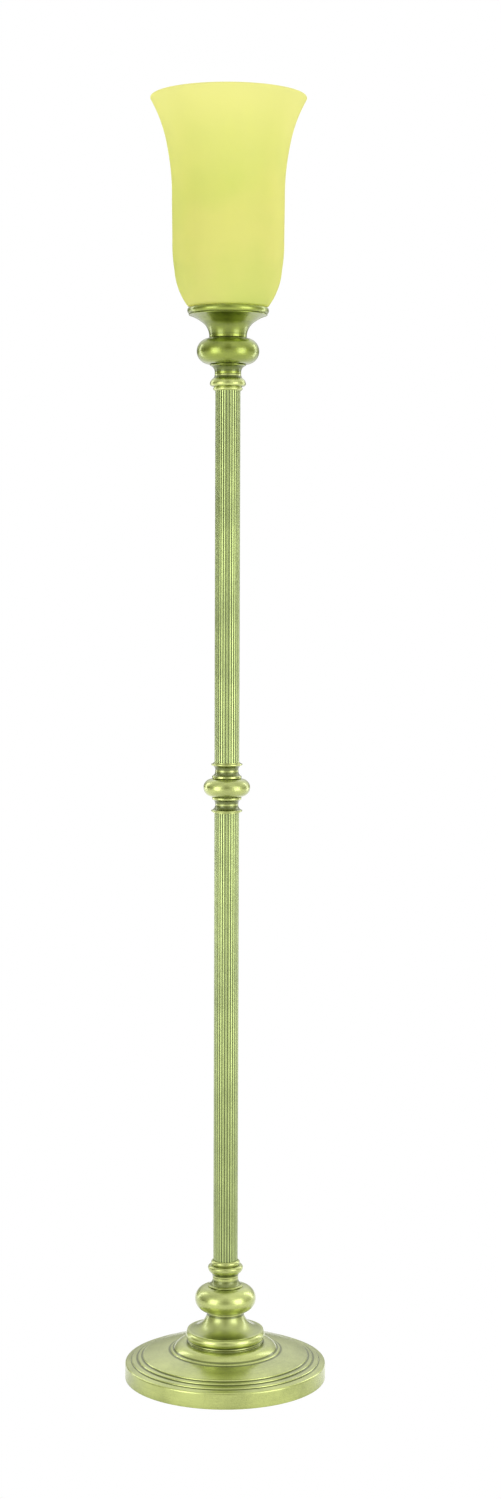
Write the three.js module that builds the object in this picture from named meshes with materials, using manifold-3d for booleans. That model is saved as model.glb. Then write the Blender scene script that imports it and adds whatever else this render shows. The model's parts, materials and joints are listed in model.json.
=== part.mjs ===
// Torchiere floor lamp: a round stepped brass base, two reeded brass columns joined
// by turned spools and cushion-shaped balls, and a frosted glass bell shade with a
// keyed lamp socket inside. Millimetres, +Z up, the floor at z = 0, on the Z axis.

import * as THREE from "three";
import Module from "manifold-3d";
import { mergeVertices } from "three/addons/utils/BufferGeometryUtils.js";

// ---- driving dimensions -------------------------------------------------------

const baseRadius = 130; // the widest of the base
const columnRadius = 15.875; // reeded tube, 1 1/4 inch across the crests
const reedCount = 28;
const lowerColumnLength = 585;
const upperColumnLength = 473.5;
const ballRadius = 39.5; // the cushions at the base and at the top
const middleBallRadius = 29.9;
const shadeMouthRadius = 98.2;
const shadeHeight = 268;
const pipeRadius = 5.15; // 1/8 inch lamp pipe
const seam = 0.3; // the gap at every face where two pieces meet

// ---- sizes that follow ----------------------------------------------------------

const pipeHole = pipeRadius + seam; // clearance hole in every web on the pipe
const columnBore = 14.2;
const columnSocket = columnRadius + 0.4; // the recess that a column's end sits in
const socketDepth = 1.5;
const columnInset = socketDepth - seam; // how far each end of a column is hidden

// The turned pieces stand on each other, one seam apart. The reeds are what shows of a
// column between the two pieces that its ends sit in, so they have no seam.
const stackHeights = {
  base: 48,
  collar: 14.3,
  baseBell: 24.8,
  baseBall: 33.4,
  lowerFlare: 11.7,
  lowerCup: 15.2,
  lowerLip: 6.2,
  lowerReeds: lowerColumnLength - 2 * columnInset,
  lowerSpool: 20.2,
  middleBall: 23.4,
  upperSpool: 20.2,
  upperReeds: upperColumnLength - 2 * columnInset,
  topLip: 5.2,
  topCup: 15.2,
  topFlare: 11.7,
  topBall: 33.4,
  holder: 29.1,
  shadeRing: 7.6,
};

function footHeights() {
  const feet = {};
  const pieces = Object.keys(stackHeights);
  let level = 0;
  pieces.forEach((piece, index) => {
    feet[piece] = level;
    const meetsReeds = [piece, pieces[index + 1]].some((name) => name?.endsWith("Reeds"));
    level += stackHeights[piece] + (meetsReeds ? 0 : seam);
  });
  return feet;
}

const foot = footHeights();

// ---- outlines -------------------------------------------------------------------
// An outline is a list of [radius, height] points, up the outside and down the inside.

// The points of a circular arc after `from`, up to and with `to`. A positive depth
// bulges to the right of the way from one to the other, which is outwards going up.
function bow(from, to, depth, steps = 4) {
  const chord = Math.hypot(to[0] - from[0], to[1] - from[1]);
  const right = [(to[1] - from[1]) / chord, (from[0] - to[0]) / chord];
  const halfAngle = 2 * Math.atan((2 * depth) / chord);
  const radius = chord / (2 * Math.sin(halfAngle));
  const points = [];
  for (let step = 1; step <= steps; step += 1) {
    const angle = halfAngle * ((2 * step) / steps - 1);
    const along = 0.5 + (radius * Math.sin(angle)) / chord;
    const out = radius * (Math.cos(angle) - Math.cos(halfAngle));
    points.push([
      from[0] + (to[0] - from[0]) * along + right[0] * out,
      from[1] + (to[1] - from[1]) * along + right[1] * out,
    ]);
  }
  return points;
}

function arc(centre, radius, fromDegrees, toDegrees, steps) {
  const points = [];
  for (let step = 0; step <= steps; step += 1) {
    const degrees = fromDegrees + ((toDegrees - fromDegrees) * step) / steps;
    const angle = THREE.MathUtils.degToRad(degrees);
    points.push([centre[0] + radius * Math.cos(angle), centre[1] + radius * Math.sin(angle)]);
  }
  return points;
}

function upsideDown(outline, height) {
  return outline.map(([radius, z]) => [radius, height - z]).reverse();
}

// ---- solids ---------------------------------------------------------------------

function turned(outline, segments = 20) {
  const points = outline.map(([radius, height]) => new THREE.Vector2(radius, height));
  const startsOnAxis = outline[0][0] === 0;
  if (!startsOnAxis) points.push(points[0].clone());
  return new THREE.LatheGeometry(points, segments).rotateX(Math.PI / 2);
}

function disc(radius, height, segments = 16) {
  return turned([[0, 0], [radius, 0], [radius, height], [0, height]], segments);
}

function ring(outer, inner, height, segments = 16) {
  return turned([[outer, 0], [outer, height], [inner, height], [inner, 0]], segments);
}

// A disc or ring that lies along X, from the given x outwards.
function alongX(geometry, x) {
  return geometry.rotateY(Math.PI / 2).translate(x, 0, 0);
}

function block(width, depth, height, x, y, z) {
  return new THREE.BoxGeometry(width, depth, height).translate(x, y, z);
}

const wasm = await Module();
wasm.setup();

function toManifold(geometry) {
  const bare = geometry.clone();
  bare.deleteAttribute("normal");
  bare.deleteAttribute("uv");
  const merged = mergeVertices(bare, 1e-4);
  const mesh = new wasm.Mesh({
    numProp: 3,
    vertProperties: new Float32Array(merged.attributes.position.array),
    triVerts: new Uint32Array(merged.index.array),
  });
  return new wasm.Manifold(mesh);
}

function fromManifold(manifold) {
  const mesh = manifold.getMesh();
  const geometry = new THREE.BufferGeometry();
  geometry.setAttribute("position", new THREE.BufferAttribute(mesh.vertProperties, 3));
  geometry.setIndex(new THREE.BufferAttribute(mesh.triVerts, 1));
  geometry.computeVertexNormals();
  return geometry;
}

function cut(geometry, ...tools) {
  let solid = toManifold(geometry);
  for (const tool of tools) solid = solid.subtract(toManifold(tool));
  return fromManifold(solid);
}

// ---- materials ------------------------------------------------------------------

function material(color, roughness, metalness) {
  return new THREE.MeshStandardMaterial({ color, roughness, metalness });
}

const antiqueBrass = material(0xb6bd72, 0.32, 1);
const socketBrass = material(0xe0d090, 0.3, 1);
const castIron = material(0x3c3d3f, 0.75, 1);
const zincSteel = material(0xa9abad, 0.4, 1);
const blackPhenolic = material(0x1b1a18, 0.35, 0);
const fibreBoard = material(0x8c7452, 0.85, 0);
const felt = material(0x2f4a36, 0.95, 0);
const frostedGlass = material(0xe6e68c, 0.5, 0);
const bulbGlass = material(0xf3f1e6, 0.45, 0);
const aluminium = material(0xc3c5c7, 0.35, 1);
const solder = material(0x8e8f8c, 0.5, 1);
const whiteWire = material(0xe9e7e0, 0.6, 0);
const blackWire = material(0x222222, 0.6, 0);

const lamp = new THREE.Group();

function add(name, geometry, look, z = 0) {
  const mesh = new THREE.Mesh(geometry, look.clone());
  mesh.name = name;
  mesh.position.z = z;
  lamp.add(mesh);
  return mesh;
}

// ---- base -----------------------------------------------------------------------

const feltThickness = 2;
const rimLift = 1.2; // the brass rim clears the floor, which only the felt touches
const weightFoot = feltThickness + seam;
const wellRadius = 30; // the well in the weight that holds the nut and the splices
const wellRoof = 22.3;
const inletHeight = 8.6; // the cord inlet's axis
const inletRadius = 4.6;
const nutThickness = 5;
const washerThickness = 1.6;

function feltPad() {
  return disc(baseRadius - 5.5, feltThickness, 28);
}

// Three fine steps, a broad slope, a bead and an ovolo, spun in one piece.
function baseShell() {
  const outside = [
    [baseRadius, rimLift],
    [baseRadius, 19.8],
    ...bow([baseRadius, 19.8], [127.4, 22.2], 0.7, 2),
    [121.6, 23.5],
    ...bow([121.6, 23.5], [119.8, 25.5], 0.6, 2),
    [113.4, 26.3],
    ...bow([113.4, 26.3], [111.6, 28.3], 0.6, 2),
    [107.2, 29],
    ...bow([107.2, 29], [105.4, 31.1], 0.6, 2),
    ...bow([105.4, 31.1], [71.8, 37], 0.7, 2),
    ...bow([71.8, 37], [67.4, 38.8], 1.0, 2),
    ...bow([67.4, 38.8], [48.4, 47.3], 3.4, 4),
    [48.2, stackHeights.base],
  ];
  const inside = [
    [pipeHole, stackHeights.base],
    [pipeHole, 46],
    [46, 45.6],
    [62.5, 38],
    [69, 34.9],
    [104.4, 27.4],
    [127.6, 19.2],
    [127.6, rimLift],
  ];
  const shell = turned([...outside, ...inside], 40);
  const inlet = disc(inletRadius + seam, 12, 16).rotateX(-Math.PI / 2);
  return cut(shell, inlet.translate(0, 121, inletHeight));
}

function baseWeight() {
  const bossTop = 45.7;
  const body = turned(
    [
      [124.4, weightFoot],
      [124.4, 16.4],
      [101, 22.4],
      [42, 30],
      [20, 31],
      [18, bossTop],
      [pipeHole, bossTop],
      [pipeHole, wellRoof],
      [wellRadius, wellRoof],
      [wellRadius, weightFoot],
    ],
    28,
  );
  const channelTop = inletHeight + 5;
  const channel = block(15, 100, channelTop, 0, 76, channelTop / 2);
  return cut(body, channel);
}

function cordBushing() {
  const bushing = turned(
    [
      [6.3, 0],
      [6.3, 1.7],
      [inletRadius, 1.7],
      [inletRadius, 4.1],
      [3.9, 4.6],
      [3, 4.6],
      [3, 0],
    ],
    16,
  );
  return bushing.rotateX(-Math.PI / 2).translate(0, 125.1, inletHeight);
}

function hexNut(height) {
  const acrossFlats = 14.3;
  const radius = acrossFlats / Math.sqrt(3);
  const hexagon = new THREE.Shape();
  for (let corner = 0; corner < 6; corner += 1) {
    const angle = (Math.PI / 3) * corner;
    const point = [radius * Math.cos(angle), radius * Math.sin(angle)];
    if (corner === 0) hexagon.moveTo(...point);
    else hexagon.lineTo(...point);
  }
  hexagon.closePath();
  hexagon.holes.push(new THREE.Path().absarc(0, 0, pipeHole, 0, 2 * Math.PI, true));
  return new THREE.ExtrudeGeometry(hexagon, { depth: height, bevelEnabled: false, curveSegments: 12 });
}

function flatWasher() {
  return ring(12.5, pipeHole, washerThickness);
}

// A split ring: the slanted slot is cut right through one side.
function lockWasher() {
  const slotSlant = 0.5;
  const slot = block(8, 1.2, 10, 7.5, 0, 0).rotateX(slotSlant);
  return cut(ring(9, pipeHole, washerThickness), slot);
}

const baseWasherFoot = wellRoof - seam - washerThickness;
const lockWasherFoot = baseWasherFoot - seam - washerThickness;
const baseNutFoot = lockWasherFoot - seam - nutThickness;

add("felt_pad", feltPad(), felt);
add("base_shell", baseShell(), antiqueBrass);
add("base_weight", baseWeight(), castIron);
add("cord_bushing", cordBushing(), blackPhenolic);
add("base_washer", flatWasher(), zincSteel, baseWasherFoot);
add("base_lock_washer", lockWasher(), zincSteel, lockWasherFoot);
add("base_hex_nut", hexNut(nutThickness), zincSteel, baseNutFoot);

// ---- turned pieces below and above the columns -------------------------------------

function collar() {
  const height = stackHeights.collar;
  return turned(
    [
      [48.2, 0],
      [48.7, 1.4],
      [48.2, 2.7],
      [48.5, 3.2],
      ...bow([48.5, 3.2], [48.9, height - 0.5], 2.6, 4),
      [48.4, height],
      [45.6, height],
      [45.6, 2.2],
      [pipeHole, 2.2],
      [pipeHole, 0],
    ],
    28,
  );
}

function baseBell() {
  const height = stackHeights.baseBell;
  const rim = [49.3, 0.9];
  const waist = [23.6, height - 2];
  return turned(
    [
      [49.3, 0],
      rim,
      ...bow(rim, waist, -5.8, 6),
      [23.9, height],
      [pipeHole, height],
      [pipeHole, height - 1.8],
      [21.8, height - 2.4],
      ...bow([21.8, height - 2.4], [47, 0.9], 5.4, 4),
      [47, 0],
    ],
    28,
  );
}

// A cushion: a ring of round section between two flat ends.
function cushion(outer, height, segments) {
  const sectionRadius = height / 2 - 0.4;
  const centre = [outer - sectionRadius, height / 2];
  const wall = 1.5;
  const openRadius = centre[0] - 6;
  const inner = sectionRadius - wall;
  return turned(
    [
      [openRadius, 0],
      [centre[0] - 1, 0],
      ...arc(centre, sectionRadius, -90, 90, 8),
      [centre[0] - 1, height],
      [openRadius, height],
      [openRadius, height - wall - 0.4],
      ...arc(centre, inner, 90, -90, 4),
      [openRadius, wall + 0.4],
    ],
    segments,
  );
}

// A small trumpet that stands wide foot down and narrows to its neck.
function flare(height) {
  const footRadius = 22.9;
  const neckRadius = 16.7;
  return [
    [footRadius, 0],
    [footRadius, 0.9],
    ...bow([footRadius, 0.9], [neckRadius, height - 3], -1.5, 4),
    [neckRadius, height],
    [pipeHole, height],
    [pipeHole, height - 1.8],
    [neckRadius - 1.8, height - 1.8],
    [neckRadius - 1.8, height - 3.6],
    [footRadius - 2.2, 0.9],
    [footRadius - 2.2, 0],
  ];
}

function cup() {
  const height = stackHeights.lowerCup;
  return [
    [16.8, 0],
    [16.8, 1],
    ...bow([16.8, 1], [18.7, 5], -0.3, 2),
    ...bow([18.7, 5], [22.8, 12.2], 1.1, 3),
    ...bow([22.8, 12.2], [19.4, height], 0.9, 2),
    [pipeHole, height],
    [pipeHole, height - 1.8],
    [19.4, height - 1.8],
    [20.6, 11.8],
    [16.9, 5.8],
    [14.8, 1.4],
    [14.8, 0],
  ];
}

// The thin ring that a column's end sits in.
function lip(height) {
  return [
    [17.7, 0],
    [17.7, 0.8],
    ...bow([17.7, 0.8], [17.1, height - 0.4], 1.3, 3),
    [16.9, height],
    [columnSocket, height],
    [columnSocket, height - socketDepth],
    [pipeHole, height - socketDepth],
    [pipeHole, 0],
  ];
}

// A spool with a thin flange and a recess for the column at its foot.
function spool() {
  const height = stackHeights.lowerSpool;
  return [
    [17.3, 0],
    [17.3, 1.9],
    [19.6, 2.2],
    [20, 2.7],
    [19.7, 3.3],
    ...bow([19.7, 3.3], [15, 10.6], -1.7, 4),
    [15, 12.4],
    ...bow([15, 12.4], [18.8, 17.2], -0.9, 2),
    [19, height - 0.8],
    [18.4, height],
    [13, height],
    [13, 5.2],
    [pipeHole, 4.2],
    [pipeHole, socketDepth],
    [columnSocket, socketDepth],
    [columnSocket, 0],
  ];
}

add("base_collar", collar(), antiqueBrass, foot.collar);
add("base_bell", baseBell(), antiqueBrass, foot.baseBell);
add("base_ball", cushion(ballRadius, stackHeights.baseBall, 28), antiqueBrass, foot.baseBall);
add("lower_flare", turned(flare(stackHeights.lowerFlare)), antiqueBrass, foot.lowerFlare);
add("lower_cup", turned(cup()), antiqueBrass, foot.lowerCup);
add("lower_lip_ring", turned(lip(stackHeights.lowerLip)), antiqueBrass, foot.lowerLip);
add("middle_lower_spool", turned(spool()), antiqueBrass, foot.lowerSpool);
add("middle_ball", cushion(middleBallRadius, stackHeights.middleBall, 24), antiqueBrass, foot.middleBall);
add(
  "middle_upper_spool",
  turned(upsideDown(spool(), stackHeights.upperSpool)),
  antiqueBrass,
  foot.upperSpool,
);
add(
  "top_lip_ring",
  turned(upsideDown(lip(stackHeights.topLip), stackHeights.topLip)),
  antiqueBrass,
  foot.topLip,
);
add("top_cup", turned(upsideDown(cup(), stackHeights.topCup)), antiqueBrass, foot.topCup);
add(
  "top_flare",
  turned(upsideDown(flare(stackHeights.topFlare), stackHeights.topFlare)),
  antiqueBrass,
  foot.topFlare,
);
add("top_ball", cushion(ballRadius, stackHeights.topBall, 28), antiqueBrass, foot.topBall);

// ---- columns and pipe ---------------------------------------------------------------

// Convex reeds side by side around a tube, as an extruded section.
function reededTube(length) {
  const reedDepth = 0.75;
  const samplesPerReed = 4;
  const section = new THREE.Shape();
  const samples = reedCount * samplesPerReed;
  for (let sample = 0; sample < samples; sample += 1) {
    const across = ((sample % samplesPerReed) * 2) / samplesPerReed - 1;
    const radius = columnRadius - reedDepth * (1 - Math.sqrt(1 - across * across));
    const angle = (2 * Math.PI * (sample - samplesPerReed / 2)) / samples;
    const point = [radius * Math.cos(angle), radius * Math.sin(angle)];
    if (sample === 0) section.moveTo(...point);
    else section.lineTo(...point);
  }
  section.closePath();
  section.holes.push(new THREE.Path().absarc(0, 0, columnBore, 0, 2 * Math.PI, true));
  return new THREE.ExtrudeGeometry(section, { depth: length, bevelEnabled: false, curveSegments: 14 });
}

function pipe(length) {
  const bore = 3.5;
  const chamfer = 0.5;
  return turned(
    [
      [pipeRadius - chamfer, 0],
      [pipeRadius, chamfer],
      [pipeRadius, length - chamfer],
      [pipeRadius - chamfer, length],
      [bore, length],
      [bore, 0],
    ],
    16,
  );
}

const lowerPipeFoot = 11.5;
const pipeMeeting = foot.middleBall + stackHeights.middleBall / 2;
const upperPipeTop = foot.holder + 46.5;
const checkRingThickness = 2;
const checkRingInset = 1.2;

function checkRing() {
  return ring(columnBore - seam, pipeHole, checkRingThickness);
}

function addColumn(name, length, z) {
  add(`${name}_column`, reededTube(length), antiqueBrass, z);
  add(`${name}_check_ring_bottom`, checkRing(), zincSteel, z + checkRingInset);
  const topInset = checkRingInset + checkRingThickness;
  add(`${name}_check_ring_top`, checkRing(), zincSteel, z + length - topInset);
}

addColumn("lower", lowerColumnLength, foot.lowerReeds - columnInset);
addColumn("upper", upperColumnLength, foot.upperReeds - columnInset);
add("lower_pipe", pipe(pipeMeeting - seam / 2 - lowerPipeFoot), zincSteel, lowerPipeFoot);
add("upper_pipe", pipe(upperPipeTop - pipeMeeting - seam / 2), zincSteel, pipeMeeting + seam / 2);

const couplingLength = 26;
add("pipe_coupling", ring(7.4, pipeHole, couplingLength, 16), zincSteel, pipeMeeting - couplingLength / 2);

// ---- shade holder ----------------------------------------------------------------------

const ledgeHeight = 27.2; // the step inside the holder's mouth
const seatPlateThickness = 1.5;
const gasketThickness = 1;
const seatPlateFoot = foot.holder + ledgeHeight + seam;
const gasketFoot = seatPlateFoot + seatPlateThickness + seam;
const shadeFoot = gasketFoot + gasketThickness + seam;

// A spun trumpet whose mouth carries the seat plate and the shade ring.
function shadeHolder() {
  const height = stackHeights.holder;
  return turned(
    [
      [23.8, 0],
      [23.8, 3.2],
      ...bow([23.8, 3.2], [34.4, 20.3], -2.4, 4),
      ...bow([34.4, 20.3], [48, 27.4], -0.6, 2),
      [49.7, 28],
      [49.8, 28.6],
      [49.2, height],
      [46.6, height],
      [46.6, ledgeHeight + 1],
      [44, ledgeHeight],
      [33.2, 21.6],
      ...bow([33.2, 21.6], [22, 3.2], 2.3, 3),
      [22, 1.8],
      [pipeHole, 1.8],
      [pipeHole, 0],
    ],
    28,
  );
}

// A rolled ring that stands on the holder's mouth around the foot of the glass.
function shadeRing() {
  const height = stackHeights.shadeRing;
  return turned(
    [
      [49.4, 0],
      ...bow([49.4, 0], [50.6, height - 0.3], 1.5, 4),
      [50, height],
      [49.2, height - 0.4],
      [49, 0.6],
      [47.6, 0.6],
      [47.6, 0],
    ],
    28,
  );
}

const holderNutFoot = gasketFoot + washerThickness + seam;

add("shade_holder", shadeHolder(), antiqueBrass, foot.holder);
add("shade_ring", shadeRing(), antiqueBrass, foot.shadeRing);
add("seat_plate", ring(43.8, pipeHole, seatPlateThickness, 28), antiqueBrass, seatPlateFoot);
add("shade_gasket", ring(43.5, 34.5, gasketThickness, 28), fibreBoard, gasketFoot);
add("holder_washer", flatWasher(), zincSteel, gasketFoot);
add("holder_hex_nut", hexNut(nutThickness), zincSteel, holderNutFoot);

// ---- glass shade --------------------------------------------------------------------------

const glassHole = 34; // lets the shade pass over the socket, its key and the bulb

// A bell: a rounded foot in the holder, a long upright body and a flared mouth.
function shadeOutline() {
  const mouth = [shadeMouthRadius, shadeHeight - 2.2];
  const outside = [
    [44.4, 0],
    ...bow([44.4, 0], [48.2, 7], 0.9, 2),
    [51.2, 8.8],
    ...bow([51.2, 8.8], [67.9, 54], 3.5, 5),
    ...bow([67.9, 54], [70.5, 91], 0.9, 2),
    [71.1, 140],
    ...bow([71.1, 140], [76.9, 206], -1.8, 3),
    ...bow([76.9, 206], mouth, -2.8, 4),
  ];
  const lipTop = bow(mouth, [shadeMouthRadius - 3.4, shadeHeight - 1.4], 2, 2);
  const inside = [
    ...bow([shadeMouthRadius - 3.4, shadeHeight - 1.4], [73.4, 205], 2.8, 3),
    ...bow([73.4, 205], [67.7, 140], 1.8, 2),
    [67.1, 91],
    [64.5, 54.6],
    ...bow([64.5, 54.6], [48.1, 9.6], -3.4, 4),
    [45, 4.6],
    [glassHole, 4.6],
    [glassHole, 0],
  ];
  return [...outside, ...lipTop, ...inside];
}

add("glass_shade", turned(shadeOutline(), 36), frostedGlass, shadeFoot);

// ---- lamp socket -----------------------------------------------------------------------

const socketFoot = holderNutFoot + nutThickness + 1.2;
const capHeight = 18;
const shellFoot = socketFoot + capHeight + seam;
const shellHeight = 40;
const keyHeight = shellFoot + 9; // the switch key's axis
const bodyFoot = shellFoot + 1;
const bodyHeight = 13;
const screwShellFoot = bodyFoot + bodyHeight + seam;
const contactThickness = 1.4;

function socketCap() {
  const hubHeight = 8;
  const cap = turned(
    [
      [8.4, 0],
      [8.4, hubHeight],
      ...bow([8.4, hubHeight], [17, capHeight - 2.4], 1.6, 4),
      [17, capHeight],
      [15.9, capHeight],
      [15.9, capHeight - 2],
      [7.6, hubHeight + 1.6],
      [pipeHole, hubHeight + 1],
      [pipeHole, 0],
    ],
  );
  const screwHole = alongX(disc(setScrewRadius + seam, 14, 12), -15).translate(0, 0, setScrewHeight);
  return cut(cap, screwHole);
}

const setScrewRadius = 1.5;
const setScrewHeight = 4; // above the socket's foot

function setScrew() {
  const outline = [[0, 0], [setScrewRadius, 0], [setScrewRadius, 3.4], [2.6, 3.4], [2.6, 5], [0, 5]];
  return turned(outline, 12).rotateY(-Math.PI / 2).translate(-pipeRadius - seam, 0, 0);
}

// A notch up from the lower edge that the switch key's stem passes through.
function keyNotch(z) {
  const width = 5.4;
  const start = 10;
  const reach = 12;
  const top = keyHeight - z;
  const round = alongX(disc(width / 2, reach, 16), start).translate(0, 0, top);
  const straight = block(reach, width, top + 1, start + reach / 2, 0, (top - 1) / 2);
  return [round, straight];
}

function socketShell() {
  const shell = turned(
    [
      [16.7, 0],
      [16.7, shellHeight - 1.2],
      ...bow([16.7, shellHeight - 1.2], [16.1, shellHeight], 0.15, 2),
      [15.9, shellHeight],
      [15.9, 0],
    ],
  );
  return cut(shell, ...keyNotch(shellFoot));
}

const linerFoot = shellFoot + 0.4;

function socketLiner() {
  return cut(ring(15.5, 14.9, shellHeight - 3, 20), ...keyNotch(linerFoot));
}

// Black phenolic, with a flat on each side for a terminal screw, a bore for the
// switch stem and a through hole for the centre contact's rivet.
function socketBody() {
  const bodyRadius = 14.4;
  const body = ring(bodyRadius, 1.6, bodyHeight, 20);
  const flats = [-1, 1].map((side) => block(16, 6, bodyHeight + 2, 0, side * bodyRadius, bodyHeight / 2));
  const stemBore = alongX(disc(2.4, 12, 12), 6).translate(0, 0, keyHeight - bodyFoot);
  return cut(body, ...flats, stemBore);
}

// Rounded rings stand for the thread of the lamp socket and of the bulb's cap.
function threadedWall(radius, height, turns, swell) {
  const samplesPerTurn = 2;
  const points = [];
  for (let sample = 0; sample <= turns * samplesPerTurn; sample += 1) {
    const phase = (2 * Math.PI * sample) / samplesPerTurn;
    points.push([radius - swell * (0.5 + 0.5 * Math.cos(phase)), (height * sample) / (turns * samplesPerTurn)]);
  }
  return points;
}

function screwShell() {
  const height = 22;
  const outside = threadedWall(14.5, height, 5, 0.5);
  const inside = threadedWall(14, height, 5, 0.5).reverse();
  return turned([...outside, ...inside]);
}

function terminalScrew(side) {
  const stem = turned([[0, 0], [2.9, 0], [2.9, 1.6], [0, 1.6]], 12);
  return stem.rotateX((-side * Math.PI) / 2).translate(0, side * (11.4 + seam), 0);
}

// Short enough for the glass's foot to pass over it.
function switchKey() {
  const stemStart = 7;
  const stemRadius = 2;
  const stemLength = 11.4;
  const length = 21.4;
  const key = turned(
    [
      [0, 0],
      [stemRadius, 0],
      [stemRadius, stemLength],
      [4.6, stemLength],
      [5.2, stemLength + 1.2],
      [4.4, length - 1],
      [3.4, length],
      [0, length],
    ],
    16,
  );
  return alongX(key, stemStart);
}

add("socket_cap", socketCap(), socketBrass, socketFoot);
add("socket_set_screw", setScrew(), zincSteel, socketFoot + setScrewHeight);
add("socket_shell", socketShell(), socketBrass, shellFoot);
add("socket_liner", socketLiner(), fibreBoard, linerFoot);
add("socket_body", socketBody(), blackPhenolic, bodyFoot);
add("socket_screw_shell", screwShell(), aluminium, screwShellFoot);
add("socket_contact", disc(4.5, contactThickness, 16), socketBrass, screwShellFoot);
add("terminal_screw_live", terminalScrew(1), socketBrass, keyHeight);
add("terminal_screw_neutral", terminalScrew(-1), zincSteel, keyHeight);
add("switch_key", switchKey(), blackPhenolic, keyHeight);

// ---- bulb -----------------------------------------------------------------------------

const bulbFoot = screwShellFoot + contactThickness + seam;
const bulbContactHeight = 1.8;
const bulbCapFoot = bulbFoot + bulbContactHeight + seam;
const bulbCapHeight = 25;
const bulbGlassFoot = bulbCapFoot + bulbCapHeight + seam;

function bulbContact() {
  return turned([[0, 0], [3.4, 0], [4.4, 1.2], [4.4, bulbContactHeight], [0, bulbContactHeight]], 16);
}

function bulbCap() {
  const insulatorHeight = 3;
  return turned(
    [
      [6.6, 0],
      [11.6, insulatorHeight],
      ...threadedWall(13.1, 18, 5, 0.6).map(([radius, z]) => [radius, z + insulatorHeight]),
      [13.1, bulbCapHeight],
      [12.4, bulbCapHeight],
      [11.2, insulatorHeight + 1.2],
      [6, 1],
      [6, 0],
    ],
    20,
  );
}

// A pear with a straight neck, closed by a round crown.
function bulbEnvelope() {
  const crown = 30;
  const centre = [0, 55];
  return turned(
    [
      [0, 0],
      [13, 0],
      [13.2, 4],
      ...bow([13.2, 4], [26.2, 40.4], -2.6, 3),
      ...arc(centre, crown, -29, 90, 7),
    ].map(([radius, z]) => [Math.abs(radius) < 1e-6 ? 0 : radius, z]),
  );
}

add("bulb_contact", bulbContact(), solder, bulbFoot);
add("bulb_cap", bulbCap(), aluminium, bulbCapFoot);
add("bulb_envelope", bulbEnvelope(), bulbGlass, bulbGlassFoot);

// ---- wiring ---------------------------------------------------------------------------

// Two leads run from the terminal screws through the pipe to splices in the base.
const leadRadius = 0.95;
const spliceHeight = 7.2;
const spliceLength = 15;
const spliceStart = 11;
const spliceSpread = 8; // each side of the axis

function lead(side) {
  const inPipe = side * 1.9;
  const onFlat = side * 12.9;
  const points = [
    [spliceStart - seam, side * spliceSpread, spliceHeight],
    [6, side * 7, spliceHeight],
    [1.2, side * 3, spliceHeight + 1.4],
    [0, inPipe, spliceHeight + 5],
    [0, inPipe, lowerPipeFoot + 10],
    [0, inPipe, lowerPipeFoot + 20],
    [0, inPipe, upperPipeTop - 20],
    [0, inPipe, upperPipeTop - 4],
    [0, inPipe * 1.3, upperPipeTop + 1.5],
    [0, side * 9, bodyFoot - 5],
    [0, onFlat, bodyFoot - 0.5],
    [0, onFlat, keyHeight - 2.9 - seam],
  ].map(([x, y, z]) => new THREE.Vector3(x, y, z));
  const route = new THREE.CatmullRomCurve3(points, false, "centripetal");
  // Even steps from point to point, so that the long straight run takes few of them.
  route.getPointAt = (u, target) => route.getPoint(u, target);
  route.getTangentAt = (u, target) => route.getTangent(u, target);
  const section = new THREE.Shape().absarc(0, 0, leadRadius, 0, 2 * Math.PI);
  return new THREE.ExtrudeGeometry(section, {
    steps: (points.length - 1) * 3,
    extrudePath: route,
    curveSegments: 3,
  });
}

function splice() {
  return alongX(
    turned([[0, 0], [4, 0], [4.2, 2], [3.2, spliceLength - 1.5], [2.2, spliceLength], [0, spliceLength]], 12),
    spliceStart,
  );
}

add("lead_live", lead(1), blackWire);
add("lead_neutral", lead(-1), whiteWire);
add("splice_live", splice().translate(0, spliceSpread, spliceHeight), blackPhenolic);
add("splice_neutral", splice().translate(0, -spliceSpread, spliceHeight), blackPhenolic);

export default lamp;
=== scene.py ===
import json
import math

import bpy
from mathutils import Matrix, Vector


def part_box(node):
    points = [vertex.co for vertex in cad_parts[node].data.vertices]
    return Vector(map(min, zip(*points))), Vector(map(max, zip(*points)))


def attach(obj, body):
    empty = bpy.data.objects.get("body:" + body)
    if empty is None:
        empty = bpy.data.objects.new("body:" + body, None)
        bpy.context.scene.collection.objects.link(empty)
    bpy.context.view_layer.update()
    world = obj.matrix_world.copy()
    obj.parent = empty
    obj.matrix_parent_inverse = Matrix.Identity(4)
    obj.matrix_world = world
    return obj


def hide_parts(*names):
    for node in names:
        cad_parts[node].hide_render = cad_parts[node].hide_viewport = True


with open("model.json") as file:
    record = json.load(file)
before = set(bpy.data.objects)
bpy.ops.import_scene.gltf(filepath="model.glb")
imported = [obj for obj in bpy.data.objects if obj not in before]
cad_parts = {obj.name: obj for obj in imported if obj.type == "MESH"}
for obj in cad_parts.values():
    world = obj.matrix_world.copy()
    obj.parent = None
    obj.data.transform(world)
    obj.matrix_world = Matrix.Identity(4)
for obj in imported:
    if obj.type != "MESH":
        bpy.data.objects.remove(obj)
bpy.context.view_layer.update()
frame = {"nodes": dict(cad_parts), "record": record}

MM = 0.001
REED_COUNT = 28
REED_DEPTH = 0.75  # mm
BORE_SHARE = 0.9  # a reeded tube's bore, as a share of its outer radius

# ---- camera -------------------------------------------------------------------------

CAMERA_DISTANCE = 3.115  # m in front of the lamp's axis
CAMERA_HEIGHT = 1.05  # m above the floor
CAMERA_LENS = 58.7  # mm
CAMERA_TILT = 4.24  # degrees downwards
CAMERA_YAW = 0.54  # degrees to the right of the lamp
CAMERA_ROLL = 0.2  # degrees, so that the lamp leans a little to the right


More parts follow.
